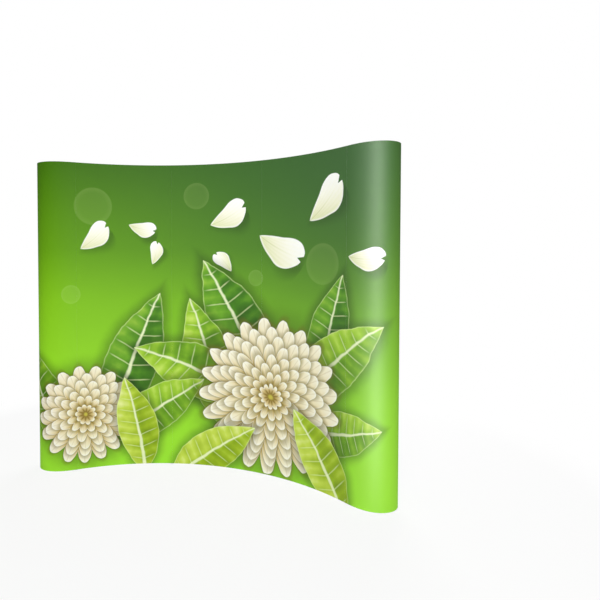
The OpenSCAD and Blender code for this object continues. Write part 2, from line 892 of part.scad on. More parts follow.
for (i = [0 : LAST]) {
    c = COLUMNS[i];
    front_hubs(i);
    rear_hubs(i);
    column_tubes(i);
    front_bars(i);
    for (j = [0 : TOP])
        at_rear(i, j) lock_arm();
}
for (i = [0 : LAST - 1]) {
    b = BAYS[i];
    cross_tubes(i);
    front_panel(i);
    front_panel_rails(i);
}
tube_ends();
cross_pivots();
column_pivots();
hub_rivets();
feet();
catch_rods();
arm_pins();
rear_bars();
magnetic_tapes();
bar_connectors();
bar_studs();
front_caps();
rear_caps();
end_panel(true);  // end_panel_left
end_panel(false);  // end_panel_right
end_panel_rails(true);  // end_panel_left_rails
end_panel_rails(false);  // end_panel_right_rails
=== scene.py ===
"""A curved pop up display backwall: print panels hung by magnets on a locked scissor frame."""
import math

import bmesh
import bpy
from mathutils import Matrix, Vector


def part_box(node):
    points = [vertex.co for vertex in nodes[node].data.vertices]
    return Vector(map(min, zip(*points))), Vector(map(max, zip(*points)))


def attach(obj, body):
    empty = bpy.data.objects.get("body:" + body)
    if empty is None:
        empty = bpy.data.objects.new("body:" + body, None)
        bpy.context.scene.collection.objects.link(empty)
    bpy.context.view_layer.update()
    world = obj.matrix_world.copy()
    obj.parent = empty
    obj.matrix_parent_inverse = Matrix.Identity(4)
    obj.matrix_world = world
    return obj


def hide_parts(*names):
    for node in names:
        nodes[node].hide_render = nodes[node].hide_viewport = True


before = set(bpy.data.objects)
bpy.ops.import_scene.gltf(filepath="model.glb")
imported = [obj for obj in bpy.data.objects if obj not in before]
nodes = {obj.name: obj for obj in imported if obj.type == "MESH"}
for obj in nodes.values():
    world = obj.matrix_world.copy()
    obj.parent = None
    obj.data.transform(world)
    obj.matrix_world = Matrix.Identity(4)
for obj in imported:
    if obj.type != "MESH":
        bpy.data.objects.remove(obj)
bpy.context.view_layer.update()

# ---- Camera ----
# The photograph's angle: at eye height and from the wall's right hand side, with the picture
# cropped so that the wall stands left of its middle.
PHOTO_SIDE = 600.0
FOCAL_PIXELS = 543.6
CENTRE_PIXEL = (229.6, 279.5)
SENSOR_WIDTH = 36.0
CAMERA_PLACE = (1.235, -3.698, 1.512)
CAMERA_TURN = 0.2921
CAMERA_PITCH = -0.0296

camera_data = bpy.data.cameras.new("camera")
camera_data.sensor_width = SENSOR_WIDTH
camera_data.lens = FOCAL_PIXELS / PHOTO_SIDE * SENSOR_WIDTH
camera_data.shift_x = (PHOTO_SIDE / 2 - CENTRE_PIXEL[0]) / PHOTO_SIDE
camera_data.shift_y = (CENTRE_PIXEL[1] - PHOTO_SIDE / 2) / PHOTO_SIDE
camera = bpy.data.objects.new("camera", camera_data)
camera.location = CAMERA_PLACE
camera.rotation_euler = (math.pi / 2 + CAMERA_PITCH, 0.0, CAMERA_TURN)
bpy.context.collection.objects.link(camera)
bpy.context.scene.camera = camera
bpy.context.scene.view_settings.view_transform = "Standard"

# ---- Studio light ----
# A soft key from high in front and a fill from behind light everything. A narrow strip box gives
# the printed panels alone their sheen at the right end, and four more light the bare metal alone.
# the sky's strength as a fill, in reflections, and where the camera sees it
SKY_FILL = 0.3
SKY_MIRRORED = 0.48
SKY_SEEN = 1.0
TUBE_STRIPS = {
    "left": (-3.0, -2.4, 1.4), "right": (3.2, -1.8, 1.4),
    "rear_left": (-2.4, 3.0, 1.4), "rear_right": (2.8, 2.6, 1.4),
}


def studio_light(name, place, aim, size, watts, only_on=None):
    """A soft box that the camera doesn't see, for all pieces or only for those of one group."""
    box = bpy.data.lights.new(name, "AREA")
    box.shape = "RECTANGLE"
    box.size, box.size_y = size
    box.energy = watts
    light = bpy.data.objects.new(name, box)
    light.location = place
    away = Vector(place) - Vector(aim)
    light.rotation_euler = away.to_track_quat("Z", "Y").to_euler()
    light.visible_camera = False
    bpy.context.collection.objects.link(light)
    if only_on is not None:
        light.light_linking.receiver_collection = only_on
    return light


printed_panels = bpy.data.collections.new("printed_panels")
bare_metal = bpy.data.collections.new("bare_metal")
studio_light("key", (1.6, -5.8, 4.4), (0.1, 0.0, 1.1), (3.6, 2.6), 305)
sheen_strip = studio_light("right_strip", (1.14, -1.043, 1.57), (1.107, -0.344, 1.57),
                           (0.18, 3.0), 300, printed_panels)
sheen_strip.visible_diffuse = False
studio_light("back_fill", (0.5, 4.6, 3.4), (0.0, 0.2, 1.1), (3.4, 2.4), 210)
for corner, corner_place in TUBE_STRIPS.items():
    studio_light(f"{corner}_tube_strip", corner_place, (0.0, 0.0, 1.2), (0.5, 2.8), 31, bare_metal)

world = bpy.data.worlds.new("studio")
world.use_nodes = True
bpy.context.scene.world = world
sky = world.node_tree.nodes["Background"]
sky.inputs["Color"].default_value = (1, 1, 1, 1)
world_rays = world.node_tree.nodes.new("ShaderNodeLightPath")
sky_fill = world.node_tree.nodes.new("ShaderNodeValue")
sky_fill.outputs[0].default_value = SKY_FILL
mirrored = world.node_tree.nodes.new("ShaderNodeMix")
mirrored.inputs["B"].default_value = SKY_MIRRORED
seen_sky = world.node_tree.nodes.new("ShaderNodeMix")
seen_sky.inputs["B"].default_value = SKY_SEEN
world_link = world.node_tree.links.new
world_link(world_rays.outputs["Is Glossy Ray"], mirrored.inputs["Factor"])
world_link(sky_fill.outputs[0], mirrored.inputs["A"])
world_link(world_rays.outputs["Is Camera Ray"], seen_sky.inputs["Factor"])
world_link(mirrored.outputs["Result"], seen_sky.inputs["A"])
world_link(seen_sky.outputs["Result"], sky.inputs["Strength"])

# ---- Floor ----
# Pale paper that takes a soft shadow near the wall and runs out into pure white further away, so
# that no horizon shows. Seen straight, it is mostly white anyway, and the shadow stays faint.
FLOOR_REACH = 40.0
PAPER_TONE = (0.88, 0.88, 0.88, 1)
SHADE_RADIUS = (0.9, 3.0)
SEEN_WHITE = 0.85

floor_mesh = bpy.data.meshes.new("floor")
floor_mesh.from_pydata([
    (-FLOOR_REACH, -FLOOR_REACH, 0), (FLOOR_REACH, -FLOOR_REACH, 0),
    (FLOOR_REACH, FLOOR_REACH, 0), (-FLOOR_REACH, FLOOR_REACH, 0)], [], [(0, 1, 2, 3)])
paper = bpy.data.materials.new("studio_paper")
paper.use_nodes = True
paper_nodes, paper_link = paper.node_tree.nodes, paper.node_tree.links.new
plain_paper = paper_nodes["Principled BSDF"]
plain_paper.inputs["Base Color"].default_value = PAPER_TONE
plain_paper.inputs["Roughness"].default_value = 0.9
plain_paper.inputs["Specular IOR Level"].default_value = 0.0
white_glow = paper_nodes.new("ShaderNodeEmission")
floor_coords = paper_nodes.new("ShaderNodeTexCoord")
floor_distance = paper_nodes.new("ShaderNodeVectorMath")
floor_distance.operation = "LENGTH"
far_off = paper_nodes.new("ShaderNodeMapRange")
far_off.interpolation_type = "SMOOTHSTEP"
far_off.inputs["From Min"].default_value, far_off.inputs["From Max"].default_value = SHADE_RADIUS
paper_rays = paper_nodes.new("ShaderNodeLightPath")
whiter = paper_nodes.new("ShaderNodeMath")
whiter.operation = "MAXIMUM"
whiter.inputs[1].default_value = SEEN_WHITE
seen_floor = paper_nodes.new("ShaderNodeMath")
seen_floor.operation = "MULTIPLY"
paper_mix = paper_nodes.new("ShaderNodeMixShader")
paper_link(floor_coords.outputs["Object"], floor_distance.inputs[0])
paper_link(floor_distance.outputs["Value"], far_off.inputs["Value"])
paper_link(far_off.outputs["Result"], whiter.inputs[0])
paper_link(whiter.outputs[0], seen_floor.inputs[0])
paper_link(paper_rays.outputs["Is Camera Ray"], seen_floor.inputs[1])
paper_link(seen_floor.outputs[0], paper_mix.inputs[0])
paper_link(plain_paper.outputs[0], paper_mix.inputs[1])
paper_link(white_glow.outputs[0], paper_mix.inputs[2])
paper_link(paper_mix.outputs[0], paper_nodes["Material Output"].inputs["Surface"])
floor_mesh.materials.append(paper)
floor = bpy.data.objects.new("floor", floor_mesh)
bpy.context.collection.objects.link(floor)

# ---- Hubs, tube ends, locking arms and feet ----
# All are moulded in one light grey plastic with the fine matt tooth of a textured mould. The hubs
# carry the tubes in their clevises, and the arms lock the front and rear hubs apart.
RELIEF_DEPTH = 0.0002
MOULDED_GRAIN = (700.0, 700.0, 700.0)


def colour(hex_code):
    """A hex code as the linear colour that the nodes take."""
    parts = [int(hex_code[i:i + 2], 16) / 255 for i in (0, 2, 4)]
    linear = [p / 12.92 if p <= 0.04045 else ((p + 0.055) / 1.055) ** 2.4 for p in parts]
    return (*linear, 1.0)


class Worked:
    """A number, colour, place or mesh that the nodes of a material or a geometry tree work out."""
    tree = None

    def __init__(self, socket):
        self.socket = socket

    @staticmethod
    def node(kind, inputs, output=0, **settings):
        """A node with its inputs linked or set, by name or number, and one of its outputs."""
        made = Worked.tree.nodes.new(kind)
        for setting, choice in settings.items():
            setattr(made, setting, choice)
        for key, given in inputs.items():
            if isinstance(given, Worked):
                given.into(made.inputs[key])
            else:
                made.inputs[key].default_value = given
        return Worked(made.outputs[output])

    @staticmethod
    def calc(operation, *values):
        return Worked.node("ShaderNodeMath", dict(enumerate(values)), operation=operation)

    def into(self, socket):
        Worked.tree.links.new(self.socket, socket)

    def __add__(self, other):
        return Worked.calc("ADD", self, other)

    def __sub__(self, other):
        return Worked.calc("SUBTRACT", self, other)

    def __mul__(self, other):
        return Worked.calc("MULTIPLY", self, other)

    def __pow__(self, other):
        return Worked.calc("POWER", self, other)

    def scaled(self, factor, plus):
        return Worked.calc("MULTIPLY_ADD", self, factor, plus)

    def absolute(self):
        return Worked.calc("ABSOLUTE", self)

    def zigzag(self):
        """0 at whole numbers and 0.5 half way between them, straight in between."""
        return Worked.calc("PINGPONG", self, 0.5)

    def fade(self, start, end, most=1.0):
        """0 at start and most at end, with a soft run between them."""
        return Worked.node("ShaderNodeMapRange", {
            "Value": self, "From Min": start, "From Max": end, "To Min": 0.0, "To Max": most,
        }, interpolation_type="SMOOTHSTEP", clamp=False)

    def curve(self, points):
        """The height of a smooth curve through points, over a value from 0 to 1."""
        made = Worked.node("ShaderNodeFloatCurve", {"Factor": 1.0, "Value": self})
        mapping = made.socket.node.mapping
        outline = mapping.curves[0].points
        outline[0].location, outline[1].location = points[:2]
        for point in points[2:]:
            outline.new(*point)
        mapping.update()
        return made

    def ramp(self, stops):
        """The colour at this value on a ramp of (value, hex code) stops."""
        made = Worked.node("ShaderNodeValToRGB", {"Fac": self})
        elements = made.socket.node.color_ramp.elements
        for number, (position, code) in enumerate(stops):
            stop = elements[number] if number < 2 else elements.new(position)
            stop.position = position
            stop.color = colour(code)
        return made


def finish(name, tones, roughness, grain, metallic=0.0, relief=0.0, specular=0.5):
    """A material whose colour and roughness vary a little with a fine grain over the piece."""
    material = bpy.data.materials.new(name)
    material.use_nodes = True
    Worked.tree = material.node_tree
    here = Worked.node("ShaderNodeTexCoord", {}, "Object")
    spread = Worked.node("ShaderNodeMapping", {"Vector": here, "Scale": grain})
    noise = Worked.node("ShaderNodeTexNoise", {"Vector": spread, "Scale": 1.0, "Detail": 5.0})
    surface = Worked.tree.nodes["Principled BSDF"]
    surface.inputs["Metallic"].default_value = metallic
    surface.inputs["Specular IOR Level"].default_value = specular
    noise.ramp(((0.25, tones[0]), (0.75, tones[1]))).into(surface.inputs["Base Color"])
    rough = noise.fade(0.2, 0.8, roughness[1] - roughness[0]) + roughness[0]
    rough.into(surface.inputs["Roughness"])
    if relief:
        bump = Worked.node("ShaderNodeBump", {
            "Strength": relief, "Distance": RELIEF_DEPTH, "Height": noise}, "Normal")
        bump.into(surface.inputs["Normal"])
    return material


def dress(material, starts, ends=""):
    """Give a material to the frame's nodes whose names start and end so, and return them."""
    dressed = [node for name, node in nodes.items()
               if name.startswith(starts) and name.endswith(ends)]
    for node in dressed:
        for slot in node.material_slots:
            slot.material = material
    return dressed


GREY_PLASTIC = finish("grey_plastic", ("b0b2b5", "b8babc"), (0.4, 0.5), MOULDED_GRAIN,
                      relief=0.06)
dress(GREY_PLASTIC, ("front_hubs", "rear_hubs", "tube_ends", "lock_arm", "feet"))

# ---- Tubes and catch rods ----
# Thin drawn aluminium tubes, anodised bright, cross in pairs on common pivots. Solid rods of the
# same finish reach back from the front hubs to the clips of the locking arms.
DRAWN_TUBE = finish("drawn_tube", ("c0c2c6", "cccdd1"), (0.26, 0.34), (1400.0, 1400.0, 1400.0),
                    metallic=1.0, relief=0.02)
for tube in dress(DRAWN_TUBE, ("cross_tubes", "column_tubes", "catch_rods")):
    bare_metal.objects.link(tube)

# ---- Pins and their rolled rims ----
# Headed pins of dark plated steel join tubes, hubs, feet and arms. They are hollow at their ends
# and rolled over, so that each head carries a fine raised ring, two to a pin.
BAY = math.radians(27.0)
COLUMNS = 4
MIDDLE_COLUMN = (COLUMNS - 1) / 2
LEVELS = 4
TOP = LEVELS - 1
LOWEST_HUB = 0.038
ROW = 0.72
HUB_HEIGHTS = [LOWEST_HUB + ROW * rows_up for rows_up in range(LEVELS)]
FRONT_RADIUS = 1.5
FRAME_DEPTH = 0.253
REAR_RADIUS = FRONT_RADIUS + FRAME_DEPTH

# the wall's centre of curvature, from the middle panel: its face's edges come furthest forward
PANEL_BACK = 0.027
SHEET = 0.001
FACE_RADIUS = FRONT_RADIUS - PANEL_BACK - SHEET
panel_low, panel_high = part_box("panel_centre")
CENTRE_Y = panel_low.y - FACE_RADIUS * math.cos(BAY / 2)

# from a hub's centre: out to a tube's pin, sideways to it, and back into the frame to it
PIN_REACH, REAR_PIN_REACH = 0.0245, 0.0235
TUBE_OFFSET = 0.008
PIN_DEPTH, REAR_CROSS_DEPTH, ARM_PIN_DEPTH = 0.004, 0.008, 0.0182
# from the middle of a pin to the outer end of its head
RIVET_HALF, ARM_PIN_HALF, PIVOT_HALF = 0.00805, 0.01025, 0.01785
RIM_RADIUS, RIM_WIRE = 0.0015, 0.00035
UP = Vector((0.0, 0.0, 1.0))

DARK_STEEL = finish("dark_steel", ("47474a", "5f6064"), (0.26, 0.38), (60.0, 60.0, 60.0),
                    metallic=1.0)
dress(DARK_STEEL, ("cross_pivots", "column_pivots", "hub_rivets", "arm_pins"))


def in_plan(column, across, deep):
    """A point beside a column: across it along the wall, and deep from the wall's centre."""
    turn = (column - MIDDLE_COLUMN) * BAY
    return (across * math.cos(turn) + deep * math.sin(turn),
            deep * math.cos(turn) - across * math.sin(turn) + CENTRE_Y)


def in_column(column, across, deep, z):
    return Vector((*in_plan(column, across, deep), z))


def along_wall(column):
    turn = (column - MIDDLE_COLUMN) * BAY
    return Vector((math.cos(turn), -math.sin(turn), 0.0))


def out_of_wall(column):
    """The way out of the wall's rear at a column."""
    turn = (column - MIDDLE_COLUMN) * BAY
    return Vector((math.sin(turn), math.cos(turn), 0.0))


def hub_places():
    """The column, the level and the height of each front hub and the rear hub behind it."""
    for column in range(COLUMNS):
        for level, height in enumerate(HUB_HEIGHTS):
            yield column, level, height


def pin_heads():
    """The outer end of both heads of each pin, with the way that it faces."""
    heads = []

    def pin(middle, way, half):
        heads.append((middle + way * half, way))
        heads.append((middle - way * half, -way))

    front_deep, rear_deep = FRONT_RADIUS + PIN_DEPTH, REAR_RADIUS - PIN_DEPTH
    rear_cross_deep = REAR_RADIUS - REAR_CROSS_DEPTH
    for column, level, height in hub_places():
        along = along_wall(column)
        for side, cross_deep, row_deep, reach in (
            (1, front_deep, front_deep, PIN_REACH),
            (-1, rear_cross_deep, rear_deep, REAR_PIN_REACH),
        ):
            for end in (-1, 1):
                pin(in_column(column, side * end * reach, cross_deep, height + end * TUBE_OFFSET),
                    UP, RIVET_HALF)
                if end < 0 or level < TOP:
                    pin(in_column(column, side * end * TUBE_OFFSET, row_deep,
                                  height + end * PIN_REACH), along, RIVET_HALF)
        pin(in_column(column, 0, REAR_RADIUS - ARM_PIN_DEPTH, height), along, ARM_PIN_HALF)
        if level < TOP:
            low = in_column(column, 0, front_deep, height + PIN_REACH)
            high = in_column(column, 0, rear_deep, height + ROW - PIN_REACH)
            pin((low + high) / 2, along, PIVOT_HALF)
        if column < COLUMNS - 1:
            front = [in_column(column, PIN_REACH, front_deep, height),
                     in_column(column + 1, -PIN_REACH, front_deep, height)]
            rear = [in_column(column, REAR_PIN_REACH, rear_cross_deep, height),
                    in_column(column + 1, -REAR_PIN_REACH, rear_cross_deep, height)]
            near, far = (front[1] - front[0]).length, (rear[1] - rear[0]).length
            pin(front[0].lerp(rear[1], near / (near + far)), UP, PIVOT_HALF)
    return heads


def tree_for(name, sizes):
    """A geometry tree with a mesh in, a mesh out and a named input for each size."""
    tree = bpy.data.node_groups.new(name, "GeometryNodeTree")
    for way in ("INPUT", "OUTPUT"):
        tree.interface.new_socket("Geometry", in_out=way, socket_type="NodeSocketGeometry")
    for size in sizes:
        tree.interface.new_socket(size, in_out="INPUT", socket_type="NodeSocketFloat")
    Worked.tree = tree
    given = tree.nodes.new("NodeGroupInput")
    return [Worked(given.outputs[input_name]) for input_name in ("Geometry", *sizes)]


def facing_out():
    """The turn that lays a part's Z along the point's way outwards."""
    way = Worked.node("GeometryNodeInputNamedAttribute", {"Name": "out"},
                      data_type="FLOAT_VECTOR")
    return Worked.node("FunctionNodeAlignRotationToVector", {"Vector": way}, axis="Z")


def stamp(points, part, turn, material):
    """The end of a tree: part stands on each of the points, turned, and gets its material."""
    stood = Worked.node("GeometryNodeInstanceOnPoints", {
        "Points": points, "Instance": part, "Rotation": turn})
    whole = Worked.node("GeometryNodeRealizeInstances", {"Geometry": stood})
    whole = Worked.node("GeometryNodeSetMaterial", {"Geometry": whole, "Material": material})
    whole.into(Worked.tree.nodes.new("NodeGroupOutput").inputs["Geometry"])
    return Worked.tree


def made_by(name, tree, sizes, spots, edges=()):
    """The plain mesh object that a tree makes from spots: points with their ways outwards."""
    carrier_mesh = bpy.data.meshes.new(name)
    carrier_mesh.from_pydata([place for place, _ in spots], edges, [])
    out = carrier_mesh.attributes.new("out", "FLOAT_VECTOR", "POINT")
    out.data.foreach_set("vector", [part for _, way in spots for part in way])
    carrier = bpy.data.objects.new(name, carrier_mesh)
    bpy.context.collection.objects.link(carrier)
    modifier = carrier.modifiers.new("tree", "NODES")
    modifier.node_group = tree
    for socket in tree.interface.items_tree:
        if socket.name in sizes:
            modifier[socket.identifier] = sizes[socket.name]
    evaluated = carrier.evaluated_get(bpy.context.evaluated_depsgraph_get())
    mesh = bpy.data.meshes.new_from_object(evaluated)
    bpy.data.objects.remove(carrier)
    piece = bpy.data.objects.new(name, mesh)
    bpy.context.collection.objects.link(piece)
    return piece


def rolled_rims():
    """The tree that rolls a fine ring onto each head."""
    heads, radius, wire_radius = tree_for("rolled_rims", ("rim_radius", "rim_wire"))
    ring = Worked.node("GeometryNodeCurvePrimitiveCircle", {"Resolution": 14, "Radius": radius})
    wire = Worked.node("GeometryNodeCurvePrimitiveCircle", {
        "Resolution": 6, "Radius": wire_radius})
    rolled = Worked.node("GeometryNodeCurveToMesh", {"Curve": ring, "Profile Curve": wire})
    return stamp(heads, rolled, facing_out(), DARK_STEEL)


rims = made_by("rivet_rims", rolled_rims(), {"rim_radius": RIM_RADIUS, "rim_wire": RIM_WIRE},
               pin_heads())
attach(rims, "frame")

# ---- Hub screws ----
# A pan head screw with a cross recess holds each face plate to its hub. It sits in the channel of
# the bar, and the hubs under the caps have none.
HUB_FACE = 0.012
REAR_BAR_COLUMNS = (0, COLUMNS - 1)
SCREW_RADIUS, SCREW_HEIGHT, SCREW_TAPER = 0.0032, 0.0012, 0.78
SLOT_LENGTH, SLOT_WIDTH = 0.0038, 0.0008


def screw_spots():
    spots = []
    for column, level, height in hub_places():
        out = out_of_wall(column)
        if level < TOP:
            spots.append((in_column(column, 0, FRONT_RADIUS - HUB_FACE, height), -out))
        if level < TOP or column not in REAR_BAR_COLUMNS:
            spots.append((in_column(column, 0, REAR_RADIUS + HUB_FACE, height), out))
    return spots


def cross_recess_screws():
    """The tree that puts a tapered head, cut with two crossing slots, on each spot."""
    points, radius, height, slot_length, slot_width = tree_for(
        "cross_recess_screws", ("radius", "height", "slot_length", "slot_width"))
    head = Worked.node("GeometryNodeMeshCone", {
        "Vertices": 24, "Radius Top": radius * SCREW_TAPER, "Radius Bottom": radius,
        "Depth": height})
    lift = Worked.node("ShaderNodeCombineXYZ", {"Z": height})
    for across, along in ((slot_width, slot_length), (slot_length, slot_width)):
        size = Worked.node("ShaderNodeCombineXYZ", {"X": across, "Y": along, "Z": height})
        recess = Worked.node("GeometryNodeMeshCube", {"Size": size})
        recess = Worked.node("GeometryNodeTransform", {"Geometry": recess, "Translation": lift})
        head = Worked.node("GeometryNodeMeshBoolean", {"Mesh 1": head, "Mesh 2": recess},
                           operation="DIFFERENCE", solver="EXACT")
    return stamp(points, head, facing_out(), DARK_STEEL)


screws = made_by("hub_screws", cross_recess_screws(), {
    "radius": SCREW_RADIUS, "height": SCREW_HEIGHT, "slot_length": SLOT_LENGTH,
    "slot_width": SLOT_WIDTH}, screw_spots())
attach(screws, "frame")

# ---- Magnetic bars ----
# Extruded aluminium channels lie on the hubs' face plates, three lengths to a column. The die
# leaves fine streaks along their length.
EXTRUDED_BAR = finish("extruded_bar", ("b8babd", "c8cacd"), (0.26, 0.4), (1500.0, 1500.0, 5.0),
                      metallic=1.0, relief=0.03)
for bar in dress(EXTRUDED_BAR, ("front_bars", "rear_bars")):
    bare_metal.objects.link(bar)

# ---- Magnetic tape ----
# A brown-black flexible magnet is glued down the face of each bar and holds the panels' steel
# strips. It carries a broken grey line along its middle, by which it is laid straight.
TAPE_GRAIN = (500.0, 500.0, 500.0)
TAPE_FACE = 0.0257
LINE_WIDTH, LINE_DASH, LINE_PITCH, LINE_PROUD = 0.007, 0.018, 0.024, 0.00016
LINE_END_GAP = 0.002
# the bars' lower end, and how far below their hubs the seams and the caps' lower edges lie
BAR_FOOT, SEAM_DROP, CAP_REACH = 0.0084, 0.0246, 0.033
BAR_JOINTS = [BAR_FOOT, HUB_HEIGHTS[1] - SEAM_DROP, HUB_HEIGHTS[2] - SEAM_DROP,
              HUB_HEIGHTS[TOP] - CAP_REACH]

MAGNETIC_TAPE = finish("magnetic_tape", ("1e1315", "291c1e"), (0.55, 0.7), TAPE_GRAIN,
                       relief=0.1, specular=0.15)
TAPE_LINE = finish("tape_line", ("5c565b", "6a646a"), (0.5, 0.6), TAPE_GRAIN)
dress(MAGNETIC_TAPE, "magnetic_tapes")


def tape_lines():
    """The two ends of the line on each length of bar, with the way that its face looks."""
    spots = []
    for column in range(COLUMNS):
        out = out_of_wall(column)
        faces = [(FRONT_RADIUS - TAPE_FACE, -out)]
        if column in REAR_BAR_COLUMNS:
            faces.append((REAR_RADIUS + TAPE_FACE, out))
        for deep, way in faces:
            for low, high in zip(BAR_JOINTS, BAR_JOINTS[1:]):
                for z in (low + LINE_DASH / 2 + LINE_END_GAP, high - LINE_DASH / 2 - LINE_END_GAP):
                    spots.append((in_column(column, 0, deep, z), way))
    return spots


def broken_line():
    """The tree that lays flat dashes, evenly spaced, along each line."""
    lines, width, dash, pitch, proud = tree_for("broken_line", ("width", "dash", "pitch", "proud"))
    path = Worked.node("GeometryNodeMeshToCurve", {"Mesh": lines})
    spots = Worked.node("GeometryNodeCurveToPoints", {"Curve": path, "Length": pitch},
                        mode="LENGTH")
    size = Worked.node("ShaderNodeCombineXYZ", {"X": width, "Y": dash, "Z": proud})
    mark = Worked.node("GeometryNodeMeshCube", {"Size": size})
    upright = Worked.node("FunctionNodeAlignRotationToVector", {
        "Rotation": facing_out(), "Vector": tuple(UP)}, axis="Y", pivot_axis="Z")
    return stamp(spots, mark, upright, TAPE_LINE)


line_spots = tape_lines()
line = made_by("tape_line", broken_line(), {
    "width": LINE_WIDTH, "dash": LINE_DASH, "pitch": LINE_PITCH, "proud": LINE_PROUD},
    line_spots, [(first, first + 1) for first in range(0, len(line_spots), 2)])
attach(line, "frame")

# ---- Caps, connectors and studs ----
# Black moulded plastic: the hook caps over the top hubs, the tongues that join the lengths of the
# bars, and the studs in their channels that stand on the hubs' face plates.
BLACK_PLASTIC = finish("black_plastic", ("09090a", "101011"), (0.38, 0.5), MOULDED_GRAIN,
                       relief=0.08, specular=0.22)
dress(BLACK_PLASTIC, ("bar_connectors", "bar_studs", "front_caps", "rear_caps"))

# ---- The print ----
# One picture of leaves, blossoms and petals runs over all five panels, printed on film and
# laminated with a satin gloss. It is placed in metres, along the wall's face from its middle and
# above its lower edge.
PRINT_HEIGHT = 2.23
FILM_RELIEF_DEPTH = 0.0001
SHADOW = colour("12290a")
TWILIGHT = colour("37602f")
# the first two points of an outline or ramp are its ends, and the others lie between them
GROUND_TONES = (
    (0.0, "9fe536"), (1.0, "3e7001"), (0.3, "97dd27"), (0.55, "82c317"), (0.72, "639d09"))
LEAF_OUTLINE = (
    (0.0, 0.0), (1.0, 0.0), (0.07, 0.36), (0.2, 0.72), (0.42, 0.98), (0.62, 0.9), (0.82, 0.52))
LEAF_TONES = {
    "fresh": ((0.0, "4a7d10"), (1.0, "d2ea70"), (0.35, "70a41e"), (0.7, "a1cd36")),
    "pale": ((0.0, "708f0c"), (1.0, "eef5ac"), (0.35, "9dbb20"), (0.7, "c9de54")),
    "deep": ((0.0, "2a540c"), (1.0, "9cc640"), (0.35, "447e16"), (0.7, "6ca626")),
}
PETAL_OUTLINE = ((0.0, 0.0), (1.0, 0.0), (0.1, 0.12), (0.4, 0.34), (0.72, 0.48), (0.93, 0.3))
PETAL_TONES = (
    (0.0, "937a38"), (1.0, "fffdf4"), (0.3, "d0b878"), (0.6, "f0e4c0"), (0.8, "fbf6e2"))
DRIFTING_TONES = (
    (0.0, "a9b860"), (1.0, "fffffb"), (0.3, "d9dfa6"), (0.6, "f4f3d8"), (0.82, "fdfcf0"))
# place, radius and strength
LIGHT_DISCS = (
    ((-0.92, 1.92), 0.14, 0.05), ((-0.16, 2.00), 0.10, 0.045), ((0.84, 1.50), 0.14, 0.045),
    ((0.30, 1.40), 0.06, 0.06), ((-1.08, 1.28), 0.07, 0.06))
# place, turn in degrees, and length and width
DRIFTING_PETALS = (
    ((-1.02, 1.62), 32, (0.26, 0.17)), ((-0.66, 1.80), -24, (0.20, 0.13)),
    ((-0.50, 1.50), 66, (0.17, 0.11)), ((-0.06, 1.80), 16, (0.30, 0.20)),
    ((0.34, 1.72), -38, (0.38, 0.25)), ((0.72, 1.80), 34, (0.36, 0.23)),
    ((1.06, 1.56), -14, (0.24, 0.16)), ((0.10, 1.44), 122, (0.18, 0.12)))
# place, turn in degrees, length and width, bend, tones, and number of side veins
LEAVES_BEHIND = (
    ((0.40, 0.55), 112, (1.10, 0.44), 0.5, "deep", 9),
    ((-0.80, 0.30), 74, (1.05, 0.40), -0.4, "deep", 9),
    ((0.80, 0.62), 80, (0.84, 0.34), -0.4, "deep", 9),
    ((0.05, 0.30), 100, (0.98, 0.38), 0.5, "fresh", 9),
    ((-1.10, 0.20), 118, (0.90, 0.36), 0.5, "fresh", 9),
    ((0.60, 0.55), 46, (0.90, 0.38), -0.5, "fresh", 9),
    ((0.30, 0.50), 152, (1.00, 0.40), 0.5, "fresh", 9),
    ((-0.85, 0.22), 24, (0.86, 0.34), 0.5, "fresh", 9),
    ((0.74, 0.38), 6, (0.56, 0.30), 0.4, "fresh", 9))
LEAVES_IN_FRONT = (
    ((-0.55, -0.05), 96, (0.72, 0.30), 0.5, "pale", 8),
    ((-0.35, -0.12), 40, (0.78, 0.32), -0.5, "pale", 8),
    ((1.04, -0.12), 120, (0.76, 0.33), 0.4, "pale", 8))
# place, radius, petals in the outer ring, turn in degrees, and rings
BLOSSOMS = (((0.42, 0.56), 0.56, 21, 10, 8), ((-0.98, 0.40), 0.36, 17, 35, 6))


# a mix's sockets for colours go by number, because those for plain numbers have the same names
MIX_UNDER, MIX_OVER, MIXED = 6, 7, 2


def lay(under, over, amount):
    """The colour under with the colour over laid on it, as far as amount says."""
    return Worked.node("ShaderNodeMix", {"Factor": amount, MIX_UNDER: under, MIX_OVER: over},
                       MIXED, data_type="RGBA")


def own_frame(point, place, turn, size):
    """The point in a motif's own frame: from its place, turned, and in units of its size."""
    return Worked.node("ShaderNodeMapping", {
        "Vector": point, "Location": (*place, 0.0), "Rotation": (0.0, 0.0, math.radians(turn)),
        "Scale": (*size, 1.0),
    }, vector_type="TEXTURE")


def split(point):
    x = Worked.node("ShaderNodeSeparateXYZ", {"Vector": point}, "X")
    return x, Worked(x.socket.node.outputs["Y"])


def length(vector):
    return Worked.node("ShaderNodeVectorMath", {"Vector": vector}, "Value", operation="LENGTH")


